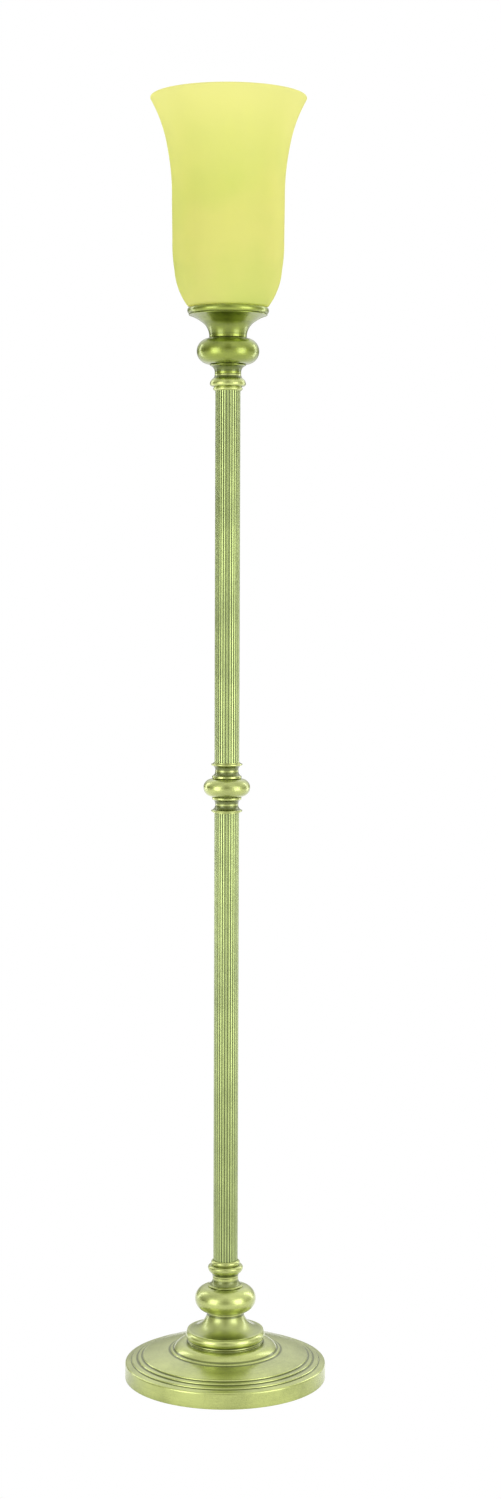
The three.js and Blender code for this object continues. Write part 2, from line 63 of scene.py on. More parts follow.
def make_camera():
    data = bpy.data.cameras.new("camera")
    data.sensor_width = 36
    data.lens = CAMERA_LENS
    camera = bpy.data.objects.new("camera", data)
    camera.location = (0, -CAMERA_DISTANCE, CAMERA_HEIGHT)
    camera.rotation_euler = (
        math.radians(90 - CAMERA_TILT),
        math.radians(-CAMERA_ROLL),
        math.radians(-CAMERA_YAW),
    )
    bpy.context.scene.collection.objects.link(camera)
    bpy.context.scene.camera = camera


make_camera()

# ---- outlines -------------------------------------------------------------------------
# An outline is a closed list of (radius, height) points in mm, up the outside and down
# the inside, or an open one from axis to axis. Each is stretched to fill its CAD node's box.

ON_AXIS = 1e-6  # a radius below this is a point on the axis


def bow(start, end, depth, steps=10):
    """A circular arc after start, up to and with end. A positive depth bulges outwards going up."""
    chord = math.dist(start, end)
    right = ((end[1] - start[1]) / chord, (start[0] - end[0]) / chord)
    half = 2 * math.atan(2 * depth / chord)
    radius = chord / (2 * math.sin(half))
    points = []
    for step in range(1, steps + 1):
        angle = half * (2 * step / steps - 1)
        along = 0.5 + radius * math.sin(angle) / chord
        out = radius * (math.cos(angle) - math.cos(half))
        points.append((
            start[0] + (end[0] - start[0]) * along + right[0] * out,
            start[1] + (end[1] - start[1]) * along + right[1] * out,
        ))
    return points


def arc(centre, radius, start, end, steps):
    """Points on a circle from the start angle to the end angle, in degrees."""
    angles = [math.radians(start + (end - start) * step / steps) for step in range(steps + 1)]
    return [(centre[0] + radius * math.cos(a), centre[1] + radius * math.sin(a)) for a in angles]


def upside_down(outline):
    """The outline of the same piece turned over."""
    top = max(height for _, height in outline)
    return [(radius, top - height) for radius, height in reversed(outline)]


def softened(outline, size):
    """The same outline with each sharp corner rounded off."""
    made = []
    for index, point in enumerate(outline):
        here = Vector(point)
        before = Vector(outline[index - 1]) - here
        after = Vector(outline[(index + 1) % len(outline)]) - here
        turn = math.pi - before.angle(after, math.pi)
        if here.x < ON_AXIS or turn < math.radians(20):
            made.append(here)
            continue
        reach = min(size * math.tan(turn / 2), 0.4 * before.length, 0.4 * after.length)
        first = here + before.normalized() * reach
        last = here + after.normalized() * reach
        for t in (0, 0.25, 0.5, 0.75, 1):
            made.append(first * (1 - t) ** 2 + here * 2 * t * (1 - t) + last * t * t)
    return made


def refined(outline, spacing, closed):
    """The same outline with points added so that none is further than spacing from the next."""
    made = []
    count = len(outline)
    for index in range(count if closed else count - 1):
        here = outline[index]
        after = outline[(index + 1) % count]
        pieces = max(1, math.ceil((after - here).length / spacing))
        made += [here.lerp(after, piece / pieces) for piece in range(pieces)]
    return made if closed else made + [outline[-1]]


FULL_GROOVE = 0.22  # the depth of a full groove, as a share of the reach


def hollowness(outline, reach=2):
    """How deep each point sits in a groove, from 0 on an open face to 1. It is judged against the
    straight line between the points that lie reach mm before and after it."""
    count = len(outline)
    values = []
    for index, here in enumerate(outline):
        ends = []
        for way in (-1, 1):
            travelled = 0
            at = index
            while travelled < reach:
                following = (at + way) % count
                travelled += (outline[following] - outline[at]).length
                at = following
                if at == index:
                    break
            ends.append(outline[at])
        along = ends[1] - ends[0]
        if along.length < 1e-6:
            values.append(0)
            continue
        outwards = Vector((along.y, -along.x)).normalized()
        depth = ((ends[0] + ends[1]) / 2 - here).dot(outwards)
        values.append(min(1, max(0, depth / (FULL_GROOVE * reach))))
    return values


# ---- meshes ---------------------------------------------------------------------------


def finished(name, vertices, faces, grooves=None, sharp=35):
    """A smooth-shaded object with edges kept sharp above an angle in degrees. grooves says how deep
    in a groove each vertex sits; the brass darkens it there, partly as patina and partly as painted shade."""
    mesh = bpy.data.meshes.new(name)
    mesh.from_pydata(vertices, [], faces)
    if grooves:
        mesh.attributes.new("groove", "FLOAT", "POINT").data.foreach_set("value", grooves)
    mesh.shade_smooth()
    mesh.set_sharp_from_angle(angle=math.radians(sharp))
    piece = bpy.data.objects.new(name, mesh)
    bpy.context.scene.collection.objects.link(piece)
    return piece


def skinned(rings, closed):
    """The faces between each ring of vertices and the next. A ring of one vertex is on the axis."""
    segments = max(len(ring) for ring in rings)
    faces = []
    for below, above in zip(rings, rings[1:] + rings[:1] if closed else rings[1:]):
        if len(below) == 1 and len(above) == 1:
            continue
        for step in range(segments):
            after = (step + 1) % segments
            if len(below) == 1:
                faces.append((below[0], above[after], above[step]))
            elif len(above) == 1:
                faces.append((below[step], below[after], above[0]))
            else:
                faces.append((below[step], below[after], above[after], above[step]))
    return faces


def spun(name, outline, fit, segments, soft=0.35, spacing=2, shape=None):
    """A turned solid that fills the box of the CAD node `fit`. shape(radius, height, angle) can
    change the radius, as a thread does."""
    low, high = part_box(fit)
    wide = max(radius for radius, _ in outline)
    tall = max(height for _, height in outline)
    across = (high.x - low.x) / 2 / wide
    upwards = (high.z - low.z) / tall
    closed = outline[0][0] > ON_AXIS
    line = refined(softened(outline, soft), spacing, closed)
    vertices = []
    grooves = []
    rings = []
    for point, groove in zip(line, hollowness(line)):
        lone = point.x < ON_AXIS
        ring = []
        for step in range(1 if lone else segments):
            angle = 2 * math.pi * step / segments
            radius = shape(point.x, point.y, angle) if shape else point.x
            ring.append(len(vertices))
            vertices.append((
                radius * across * math.cos(angle),
                radius * across * math.sin(angle),
                low.z + point.y * upwards,
            ))
            grooves.append(groove)
        rings.append(ring)
    return finished(name, vertices, skinned(rings, closed), grooves)


def reeded(name, fit, rows=30, samples=12):
    """A tube of convex reeds side by side, with a groove between each two."""
    low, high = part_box(fit)
    crest = (high.x - low.x) / 2
    bore = crest * BORE_SHARE
    count = REED_COUNT * samples
    section = []
    for sample in range(count):
        across = 2 * ((sample + samples / 2) % samples) / samples - 1
        dip = REED_DEPTH * MM * (1 - math.sqrt(max(0, 1 - across * across)))
        # painted shade: the groove value rises over the whole side of each reed, so the brass darkens the
        # reeds' flanks as well as the grooves
        section.append((2 * math.pi * sample / count, crest - dip, abs(across) ** 1.5))
    vertices = []
    grooves = []
    levels = [low.z + (high.z - low.z) * row / rows for row in range(rows + 1)]
    for height in levels:
        for angle, radius, groove in section:
            vertices.append((radius * math.cos(angle), radius * math.sin(angle), height))
            grooves.append(groove)
    for height in (levels[-1], levels[0]):
        for angle, _, _ in section:
            vertices.append((bore * math.cos(angle), bore * math.sin(angle), height))
            grooves.append(0)
    faces = []
    loops = rows + 3
    for loop in range(loops):
        first = loop * count
        second = (loop + 1) % loops * count
        for sample in range(count):
            after = (sample + 1) % count
            faces.append((first + sample, first + after, second + after, second + sample))
    return finished(name, vertices, faces, grooves, sharp=50)


def bar(name, section, along):
    """A straight solid from a flat loop of points."""
    count = len(section)
    vertices = [Vector(point) for point in section]
    vertices += [point + Vector(along) for point in vertices]
    faces = [tuple(range(count)), tuple(reversed(range(count, 2 * count)))]
    for index in range(count):
        after = (index + 1) % count
        faces.append((index, index + count, after + count, after))
    piece = finished(name, vertices, faces)
    bpy.context.view_layer.update()
    return piece


def cut(piece, tool):
    """Takes the tool out of the piece, and the tool away."""
    modifier = piece.modifiers.new("cut", "BOOLEAN")
    modifier.operation = "DIFFERENCE"
    modifier.solver = "EXACT"
    modifier.object = tool
    graph = bpy.context.evaluated_depsgraph_get()
    mesh = bpy.data.meshes.new_from_object(piece.evaluated_get(graph))
    piece.modifiers.clear()
    piece.data = mesh
    bpy.data.objects.remove(tool)


# ---- materials ------------------------------------------------------------------------


def blank(name):
    """A new material, its node tree and its surface shader."""
    material = bpy.data.materials.new(name)
    material.use_nodes = True
    tree = material.node_tree
    return material, tree, tree.nodes["Principled BSDF"]


def add(tree, kind, inputs=None, **settings):
    """A new node. inputs gives its sockets a value, or another node's output to be linked."""
    made = tree.nodes.new(kind)
    for setting, value in settings.items():
        setattr(made, setting, value)
    for key, value in (inputs or {}).items():
        if isinstance(value, bpy.types.NodeSocket):
            tree.links.new(value, made.inputs[key])
        else:
            made.inputs[key].default_value = value
    return made


def noise(tree, vector, scale, detail=2, rough=0.5):
    inputs = {"Vector": vector, "Scale": scale, "Detail": detail, "Roughness": rough}
    return add(tree, "ShaderNodeTexNoise", inputs).outputs["Fac"]


def spread(tree, value, low, high, to_low=0, to_high=1):
    """The value carried over from low..high to to_low..to_high, and held at both ends."""
    made = add(tree, "ShaderNodeMapRange", {0: value, 1: low, 2: high, 3: to_low, 4: to_high})
    return made.outputs[0]


def mixed(tree, factor, first, second):
    """A mix of two colours. Sockets 6, 7 and output 2 are the colour ones of the mix node."""
    made = add(tree, "ShaderNodeMix", data_type="RGBA")
    for key, value in ((0, factor), (6, first), (7, second)):
        if isinstance(value, bpy.types.NodeSocket):
            tree.links.new(value, made.inputs[key])
        else:
            made.inputs[key].default_value = value
    return made.outputs[2]


def scaled(tree, vector, factors):
    return add(tree, "ShaderNodeVectorMath", {0: vector, 1: factors}, operation="MULTIPLY").outputs[0]


def maths(tree, operation, first, second=0):
    made = add(tree, "ShaderNodeMath", {0: first, 1: second}, operation=operation)
    return made.outputs[0]


def bump(tree, height, strength, distance):
    made = add(tree, "ShaderNodeBump", {"Height": height, "Strength": strength, "Distance": distance})
    return made.outputs["Normal"]


def length(tree, x, y):
    squares = maths(tree, "ADD", maths(tree, "MULTIPLY", x, x), maths(tree, "MULTIPLY", y, y))
    return maths(tree, "SQRT", squares)


def place(tree):
    return add(tree, "ShaderNodeTexCoord").outputs["Object"]


ALONG_MARKS = 0.012  # how much slower a pattern changes along its marks than across them


def lathe_marks(tree, where):
    """Coordinates that change quickly across the tool marks of a turned piece and slowly round it."""
    x, y, z = add(tree, "ShaderNodeSeparateXYZ", {0: where}).outputs
    slow = scaled(tree, where, (ALONG_MARKS, ALONG_MARKS, 0.0))
    flat = add(tree, "ShaderNodeCombineXYZ", {0: length(tree, x, y), 1: 0.0, 2: z}).outputs[0]
    return add(tree, "ShaderNodeVectorMath", {0: flat, 1: slow}, operation="ADD").outputs[0]


def brushed_lengthwise(tree, where):
    """Coordinates that change slowly up and down a tube."""
    return scaled(tree, where, (1.0, 1.0, ALONG_MARKS))


def brass(name, bright, dark, brushing, roughness=0.3):
    """Lacquered antique brass: brushed, a little uneven, and dark in the grooves, partly as patina and
    partly as painted shade.
    """
    material, tree, surface = blank(name)
    where = place(tree)
    lines = noise(tree, brushing(tree, where), 2600, 3, 0.6)
    cloud = noise(tree, where, 16, 4, 0.6)
    specks = noise(tree, where, 900, 2)
    groove = add(tree, "ShaderNodeAttribute", attribute_name="groove").outputs["Fac"]
    tarnish = spread(tree, maths(tree, "MULTIPLY", specks, cloud), 0.2, 0.36, 0.0, 0.25)
    # painted shade with some patina: the deeper a point sits in a groove, the darker the brass
    deep = spread(tree, groove, 0.12, 0.75, 0.0, 0.8)
    tarnish_and_shade = maths(tree, "MAXIMUM", tarnish, deep)
    streaked = mixed(tree, spread(tree, lines, 0.35, 0.7, 0.0, 0.16), bright, dark)
    clouded = mixed(tree, spread(tree, cloud, 0.42, 0.72, 0.0, 0.2), streaked, dark)
    tree.links.new(mixed(tree, tarnish_and_shade, clouded, dark), surface.inputs["Base Color"])
    polish = spread(tree, lines, 0.3, 0.7, roughness - 0.05, roughness + 0.08)
    dull = maths(tree, "ADD", polish, spread(tree, tarnish_and_shade, 0, 1, 0, 0.22))
    tree.links.new(dull, surface.inputs["Roughness"])
    tree.links.new(bump(tree, lines, 0.22, 0.00006), surface.inputs["Normal"])
    surface.inputs["Metallic"].default_value = 1
    surface.inputs["Coat Weight"].default_value = 1
    surface.inputs["Coat Roughness"].default_value = 0.18
    surface.inputs["Coat IOR"].default_value = 1.45
    return material


def steel(name, colour, tint, roughness):
    """Zinc-plated or plain bright metal with turning marks and a faint coloured film."""
    material, tree, surface = blank(name)
    where = place(tree)
    lines = noise(tree, lathe_marks(tree, where), 1800, 2)
    film = noise(tree, where, 60, 3)
    filmed = mixed(tree, spread(tree, film, 0.35, 0.7, 0, 0.5), colour, tint)
    dull = spread(tree, lines, 0.3, 0.7, roughness - 0.06, roughness + 0.1)
    tree.links.new(filmed, surface.inputs["Base Color"])
    tree.links.new(dull, surface.inputs["Roughness"])
    tree.links.new(bump(tree, lines, 0.25, 0.00008), surface.inputs["Normal"])
    surface.inputs["Metallic"].default_value = 1
    return material


def plain(name, first, second, scale, roughness, grain, depth, metallic=0):
    """A cast, moulded or pressed surface: two close colours in patches, over a fine grain."""
    material, tree, surface = blank(name)
    where = place(tree)
    patches = noise(tree, where, scale, 4, 0.6)
    fine = noise(tree, where, grain, 3, 0.6)
    patched = mixed(tree, spread(tree, patches, 0.35, 0.65), first, second)
    dull = spread(tree, fine, 0.3, 0.7, roughness - 0.07, roughness + 0.07)
    tree.links.new(patched, surface.inputs["Base Color"])
    tree.links.new(dull, surface.inputs["Roughness"])
    tree.links.new(bump(tree, fine, 0.4, depth), surface.inputs["Normal"])
    surface.inputs["Metallic"].default_value = metallic
    return material


def fibrous(name, first, second, sheen):
    """Felt or pressed fibre: fibres that cross, over a mottled ground."""
    material, tree, surface = blank(name)
    where = place(tree)
    along_y = noise(tree, scaled(tree, where, (1.0, 0.2, 1.0)), 900, 4, 0.7)
    along_x = noise(tree, scaled(tree, where, (0.2, 1.0, 1.0)), 900, 4, 0.7)
    fibres = maths(tree, "MAXIMUM", along_y, along_x)
    patches = noise(tree, where, 40, 3)
    mottled = mixed(tree, spread(tree, patches, 0.3, 0.7, 0, 0.4), first, second)
    matted = mixed(tree, spread(tree, fibres, 0.45, 0.75), mottled, second)
    tree.links.new(matted, surface.inputs["Base Color"])
    tree.links.new(bump(tree, fibres, 0.7, 0.0004), surface.inputs["Normal"])
    surface.inputs["Roughness"].default_value = 0.95
    surface.inputs["Sheen Weight"].default_value = sheen
    surface.inputs["Sheen Roughness"].default_value = 0.5
    return material


SEE_THROUGH = 0.62  # share of the light on the frosted glass that goes through it


def frosted_glass():
    """Pale yellow glass, sandblasted: cloudy and matt, light comes through, and its mouth is painted paler,
    as painted light from above.
    """
    material, tree, surface = blank("frosted_glass")
    where = place(tree)
    cloud = noise(tree, where, 9, 3, 0.5)
    grain = noise(tree, where, 1400, 2, 0.6)
    height = add(tree, "ShaderNodeSeparateXYZ", {0: where}).outputs["Z"]
    low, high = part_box("glass_shade")
    # painted light: the glass is made paler towards its mouth, where light from above comes in
    upper_part = spread(tree, height, low.z + 0.55 * (high.z - low.z), high.z)
    body = mixed(tree, spread(tree, cloud, 0.35, 0.7), (0.89, 0.88, 0.38, 1), (0.78, 0.84, 0.30, 1))
    colour = mixed(tree, upper_part, body, (0.88, 0.87, 0.42, 1))
    tree.links.new(colour, surface.inputs["Base Color"])
    tree.links.new(spread(tree, grain, 0.3, 0.7, 0.5, 0.6), surface.inputs["Roughness"])
    rough = bump(tree, grain, 0.2, 0.0001)
    tree.links.new(rough, surface.inputs["Normal"])
    surface.inputs["IOR"].default_value = 1.45
    surface.inputs["Specular IOR Level"].default_value = 0.3
    through = add(tree, "ShaderNodeBsdfTranslucent", {"Color": colour, "Normal": rough})
    both = add(tree, "ShaderNodeMixShader", {0: SEE_THROUGH, 1: surface.outputs[0], 2: through.outputs[0]})
    tree.links.new(both.outputs[0], tree.nodes["Material Output"].inputs["Surface"])
    return material


# the second colour of each is also the groove colour: partly patina, partly painted shade
BRASS = ((0.54, 0.60, 0.195, 1), (0.06, 0.08, 0.010, 1))  # polished, then in the grooves
# painted shade: a darker copy of the same brass, for the pieces at the top, which sit in dimmer light
SHADED_BRASS = ((0.31, 0.375, 0.05, 1), (0.03, 0.045, 0.004, 1))
# its groove colour is darker than the plain brass's, for painted shade beside and between the reeds
REED_BRASS = ((0.50, 0.60, 0.21, 1), (0.025, 0.04, 0.006, 1))
SOCKET_BRASS = ((0.80, 0.66, 0.32, 1), (0.20, 0.13, 0.04, 1))
PHENOLIC = (0.012, 0.011, 0.01, 1)

materials = {
    "brass": brass("antique_brass", *BRASS, lathe_marks),
    "shaded_brass": brass("antique_brass_shaded", *SHADED_BRASS, lathe_marks),
    "reeds": brass("antique_brass_reeds", *REED_BRASS, brushed_lengthwise),
    "socket": brass("socket_brass", *SOCKET_BRASS, lathe_marks, 0.25),
    "iron": plain("cast_iron", (0.05, 0.05, 0.055, 1), (0.09, 0.075, 0.065, 1), 30, 0.75, 500, 0.0008, 0.6),
    "zinc": steel("zinc_steel", (0.60, 0.61, 0.62, 1), (0.62, 0.58, 0.42, 1), 0.34),
    "phenolic": plain("black_phenolic", PHENOLIC, (0.03, 0.02, 0.015, 1), 120, 0.36, 700, 0.0001),
    "fibre": fibrous("fibre_board", (0.30, 0.20, 0.10, 1), (0.18, 0.11, 0.05, 1), 0.0),
    "felt": fibrous("felt", (0.025, 0.075, 0.035, 1), (0.012, 0.04, 0.018, 1), 0.4),
    "shade": frosted_glass(),
    "bulb": plain("bulb_glass", (0.74, 0.74, 0.68, 1), (0.64, 0.63, 0.56, 1), 14, 0.4, 1200, 0.00005),
    "aluminium": steel("aluminium", (0.72, 0.73, 0.74, 1), (0.62, 0.62, 0.60, 1), 0.3),
    "solder": plain("solder", (0.42, 0.42, 0.41, 1), (0.25, 0.25, 0.25, 1), 300, 0.45, 600, 0.0004, 1),
    "black_wire": plain("black_wire", (0.02, 0.02, 0.02, 1), (0.03, 0.03, 0.03, 1), 200, 0.5, 900, 0.0001),
    "white_wire": plain("white_wire", (0.75, 0.74, 0.70, 1), (0.66, 0.64, 0.58, 1), 200, 0.5, 900, 0.0001),
}

LOOK_OF_SLOT = {
    "antique_brass": "brass",
    "socket_brass": "socket",
    "cast_iron": "iron",
    "zinc_steel": "zinc",
    "black_phenolic": "phenolic",
    "fibre_board": "fibre",
    "felt": "felt",
    "frosted_glass": "shade",
    "bulb_glass": "bulb",
    "aluminium": "aluminium",
    "solder": "solder",
    "black_wire": "black_wire",
    "white_wire": "white_wire",
}
slot_of = {part["node"]: part["material_slot"] for part in frame["record"]["subparts"]}
body_of = {
    node: body
    for body, members in frame["record"]["behaviour"]["bodies"].items()
    for node in members
}


def settle(piece, node, look=None):
    """The piece takes the place, the body and the slot of its CAD node, and the look of that slot
    unless another look is given."""
    piece.data.materials.clear()
    piece.data.materials.append(materials[look or LOOK_OF_SLOT[slot_of[node]]])
    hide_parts(node)
    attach(piece, body_of[node])


# ---- the turned brass pieces --------------------------------------------------------------

HOLE = 5.45  # clearance for the lamp pipe, mm


RIM_CLEARANCE = 1.2  # the base stands on its felt pad, and its rim ends this far above the floor, mm


def base_shell():
    """Its heights are above the floor, apart from the rim's foot."""
    steps = []
    for outer, inner in (
        ((130, 19.8), (127.4, 22.2)),
        ((121.6, 23.5), (119.8, 25.5)),
        ((113.4, 26.3), (111.6, 28.3)),
        ((107.2, 29), (105.4, 31.1)),
    ):
        steps += [outer, *bow(outer, inner, 0.7)]
    above_foot = [
        *steps,
        *bow((105.4, 31.1), (71.8, 37), 0.7),
        *bow((71.8, 37), (67.4, 38.8), 1.0),
        *bow((67.4, 38.8), (48.4, 47.3), 3.4, 16),
        (48.2, 48),
        (HOLE, 48),
        (HOLE, 46),
        (46, 45.6),
        (62.5, 38),
        (69, 34.9),
        (104.4, 27.4),
        (127.6, 19.2),
    ]
    return [
        (130, 0),
        *[(radius, height - RIM_CLEARANCE) for radius, height in above_foot],
        (127.6, 0),
    ]


def base_collar():
    return [
        (48.2, 0),
        (48.7, 1.4),
        (48.2, 2.7),
        (48.5, 3.2),
        *bow((48.5, 3.2), (48.9, 13.8), 2.6, 16),
        (48.4, 14.3),
        (45.6, 14.3),
        (45.6, 2.2),
        (HOLE, 2.2),
        (HOLE, 0),
    ]


def base_bell():
    return [
        (49.3, 0),
        (49.3, 0.9),
        *bow((49.3, 0.9), (23.6, 22.8), -5.8, 24),
        (23.9, 24.8),
        (HOLE, 24.8),
        (HOLE, 23),
        (21.8, 22.4),
        *bow((21.8, 22.4), (47, 0.9), 5.4, 16),
        (47, 0),
    ]


def cushion(outer, height):
    """A hollow ball squashed into a ring, with flat lands above and below."""
    section = height / 2 - 0.4
    centre = (outer - section, height / 2)
    opening = centre[0] - 6
    return [
        (opening, 0),
        (centre[0] - 1, 0),
        *arc(centre, section, -90, 90, 40),
        (centre[0] - 1, height),
        (opening, height),
        (opening, height - 1.9),
        *arc(centre, section - 1.5, 90, -90, 20),
        (opening, 1.9),
    ]


def flare():
    return [
        (22.9, 0),
        (22.9, 0.9),
        *bow((22.9, 0.9), (16.7, 8.7), -1.5, 14),
        (16.7, 11.7),
        (HOLE, 11.7),
        (HOLE, 9.9),
        (14.9, 9.9),
        (14.9, 8.1),
        (20.7, 0.9),
        (20.7, 0),
    ]


def cup():
    return [
        (16.8, 0),
        (16.8, 1),
        *bow((16.8, 1), (18.7, 5), -0.3, 8),
        *bow((18.7, 5), (22.8, 12.2), 1.1, 12),
        *bow((22.8, 12.2), (19.4, 15.2), 0.9, 8),
        (HOLE, 15.2),
        (HOLE, 13.4),
        (19.4, 13.4),
        (20.6, 11.8),
        (16.9, 5.8),
        (14.8, 1.4),
        (14.8, 0),
    ]


def lip(height):
    return [
        (17.7, 0),
        (17.7, 0.8),
        *bow((17.7, 0.8), (17.1, height - 0.4), 1.3, 12),
        (16.9, height),
        (16.275, height),
        (16.275, height - 1.5),
        (HOLE, height - 1.5),
        (HOLE, 0),
    ]


def spool():
    return [
        (17.3, 0),
        (17.3, 1.2),
        (19.6, 1.5),
        *bow((19.6, 1.5), (19.6, 3.5), 0.4, 8),
        *bow((19.6, 3.5), (15, 10.6), -1.7, 16),
        (15, 12.4),
        *bow((15, 12.4), (18.8, 17.2), -0.9, 10),
        (19, 19.4),
        (18.4, 20.2),
        (13, 20.2),
        (13, 5.2),
        (HOLE, 4.2),
        (HOLE, 1.5),
        (16.275, 1.5),
        (16.275, 0),
    ]


def shade_holder():
    return [
        (23.8, 0),
        (23.8, 3.2),
        *bow((23.8, 3.2), (34.4, 20.3), -2.4, 16),
        *bow((34.4, 20.3), (48, 27.4), -0.6, 12),
        (49.7, 28),
        (49.8, 28.6),
        (49.2, 29.1),
        (46.6, 29.1),
        (46.6, 28.2),
        (44, 27.2),
        (33.2, 21.6),
        *bow((33.2, 21.6), (22, 3.2), 2.3, 14),
        (22, 1.8),
        (HOLE, 1.8),
        (HOLE, 0),
    ]


def shade_ring():
    return [
        (49.4, 0),
        *bow((49.4, 0), (50.6, 7.3), 1.5, 16),
        (50, 7.6),
        (49.2, 7.2),
        (49, 0.6),
        (47.6, 0.6),
        (47.6, 0),
    ]


def washer(outer, inner, height):
    return [(outer, 0), (outer, height), (inner, height), (inner, 0)]


# Outline and number of segments of each.
turned_brass = {
    "base_collar": (base_collar(), 192),
    "base_bell": (base_bell(), 160),
    "base_ball": (cushion(39.5, 33.4), 160),
    "lower_flare": (flare(), 128),
    "lower_cup": (cup(), 128),
    "lower_lip_ring": (lip(6.2), 128),
    "middle_lower_spool": (spool(), 128),
    "middle_ball": (cushion(29.9, 23.4), 160),
    "middle_upper_spool": (upside_down(spool()), 128),
    "top_lip_ring": (upside_down(lip(5.2)), 128),
    "top_cup": (upside_down(cup()), 128),
    "top_flare": (upside_down(flare()), 128),
    "top_ball": (cushion(39.5, 33.4), 160),
    "shade_holder": (shade_holder(), 192),
    "shade_ring": (shade_ring(), 192),
    "seat_plate": (washer(43.8, HOLE, 1.5), 160),
}
# painted shade: these top pieces get the darker copy of the brass, not an older finish
SHADED_PIECES = ("top_flare", "top_ball", "shade_holder", "shade_ring")  # darker than the rest

for node, (outline, segments) in turned_brass.items():
    look = "shaded_brass" if node in SHADED_PIECES else "brass"
    settle(spun(f"{node}_turned", outline, node, segments), node, look)

for node in ("lower_column", "upper_column"):
    settle(reeded(f"{node}_reeded", node), node, "reeds")


INLET_RADIUS = 4.9 * MM


def make_base():
    """The spun base, with a round hole through its rear for the cord bushing."""
    shell = spun("base_shell_turned", base_shell(), "base_shell", 256)
    low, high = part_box("cord_bushing")
    middle = (low.z + high.z) / 2
    circle = []
    for step in range(48):
        angle = 2 * math.pi * step / 48
        circle.append((
            INLET_RADIUS * math.sin(angle),
            low.y - 0.01,
            middle + INLET_RADIUS * math.cos(angle),
        ))
    cut(shell, bar("inlet_tool", circle, (0, 0.03, 0)))
    settle(shell, "base_shell")


make_base()

# ---- glass shade and bulb -----------------------------------------------------------------


def shade_outline():
    mouth = (98.2, 265.8)
    inner_lip = (94.8, 266.6)
    return [
        (44.4, 0),
        *bow((44.4, 0), (48.2, 7), 0.9),
        (51.2, 8.8),
        *bow((51.2, 8.8), (67.9, 54), 3.5, 24),
        *bow((67.9, 54), (70.5, 91), 0.9, 12),
        (71.1, 140),
        *bow((71.1, 140), (76.9, 206), -1.8, 20),
        *bow((76.9, 206), mouth, -2.8, 24),
        *bow(mouth, inner_lip, 2, 14),
        *bow(inner_lip, (73.4, 205), 2.8, 24),
        *bow((73.4, 205), (67.7, 140), 1.8, 20),
        (67.1, 91),
        (64.5, 54.6),
        *bow((64.5, 54.6), (48.1, 9.6), -3.4, 20),
        (45, 4.6),
        (34, 4.6),
        (34, 0),
    ]


def bulb_outline():
    crown = arc((0, 55), 30, -29, 90, 40)
    return [(0, 0), (13, 0), (13.2, 4), *bow((13.2, 4), (26.2, 40.4), -2.6, 20), *crown[:-1], (0, 85)]


THREAD_PITCH = 3.6  # mm
THREAD_RUNOUT = 1.5  # mm over which a thread starts or ends
THREAD_WALL = 11.7  # points nearer the axis than this, in mm, carry no thread


def thread(low, high, depth):
    """Presses a screw thread so many mm deep into the wall between two heights."""
    def shape(radius, height, angle):
        if radius <= THREAD_WALL:
            return radius
        starting = min(1, max(0, (height - low) / THREAD_RUNOUT))
        ending = min(1, max(0, (high - height) / THREAD_RUNOUT))
        wave = 0.5 + 0.5 * math.cos(2 * math.pi * height / THREAD_PITCH - angle)
        return radius - depth * starting * ending * wave
    return shape


def bulb_cap_outline():
    return [
        (6.6, 0),
        (11.6, 3),
        (13.1, 3.8),
        (13.1, 25),
        (12.4, 25),
        (11.2, 4.2),
        (6, 1),
        (6, 0),
    ]


def screw_shell_outline():
    return [(14.5, 0), (14.5, 22), (13.2, 22), (13.2, 0)]


def settle_spun(ending, outline, node, segments, **details):
    settle(spun(f"{node}_{ending}", outline, node, segments, **details), node)


def settle_threaded(outline, node, depth):
    top = max(height for _, height in outline)
    shape = thread(2, top - 1, depth)
    settle_spun("threaded", outline, node, 128, soft=0.2, spacing=0.45, shape=shape)


settle_spun("blown", shade_outline(), "glass_shade", 224, soft=0.8, spacing=3)
settle_spun("blown", bulb_outline(), "bulb_envelope", 96, soft=0.4)
settle_threaded(bulb_cap_outline(), "bulb_cap", 0.7)
settle_threaded(screw_shell_outline(), "socket_screw_shell", 0.5)

# ---- socket, felt, gasket and washer ------------------------------------------------------


def socket_cap_outline():
    return [
        (8.4, 0),
        (8.4, 8),
        *bow((8.4, 8), (17, 15.6), 1.6, 16),
        (17, 18),
        (15.9, 18),
        (15.9, 16),
        (7.6, 9.6),
        (HOLE, 9),
        (HOLE, 0),
    ]


def socket_shell_outline():
    """A drawn tube with a rolled bead near its foot and another below its mouth."""
    return [
        (16.7, 0),
        (16.7, 24),
        *bow((16.35, 24.6), (16.35, 26.4), 0.35, 8),
        (16.7, 27),
        (16.7, 34),
        *bow((16.35, 34.6), (16.35, 36.4), 0.35, 8),
        (16.7, 37),
        (16.7, 38.8),
        (16.1, 40),
        (15.9, 40),
        (15.9, 0),
    ]


NOTCH_RADIUS = 2.7 * MM


def make_socket_shell():
    """The drawn shell, with a notch up from its foot for the key's stem, round at the top."""
    shell = spun("socket_shell_drawn", socket_shell_outline(), "socket_shell", 160, soft=0.2, spacing=1)
    low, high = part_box("switch_key")
    stem_height = (low.z + high.z) / 2
    below_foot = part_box("socket_shell")[0].z - 0.002
    start = 0.01
    notch = [(start, NOTCH_RADIUS, below_foot)]
    for step in range(25):
        angle = math.pi * step / 24
        out = NOTCH_RADIUS * math.cos(angle)
        notch.append((start, out, stem_height + NOTCH_RADIUS * math.sin(angle)))
    notch.append((start, -NOTCH_RADIUS, below_foot))
    cut(shell, bar("notch_tool", notch, (0.012, 0, 0)))
    settle(shell, "socket_shell")


KEY_LENGTH = 21.4  # mm
KEY_RIBS = 14
RIB_DEPTH = 0.45  # mm


def key_outline():
    return [
        (0, 0),
        (2, 0),
        (2, 11.4),
        (4.4, 11.4),
        (5.2, 12.6),
        (4.6, 19.4),
        (3.6, KEY_LENGTH),
        (0, KEY_LENGTH),
    ]


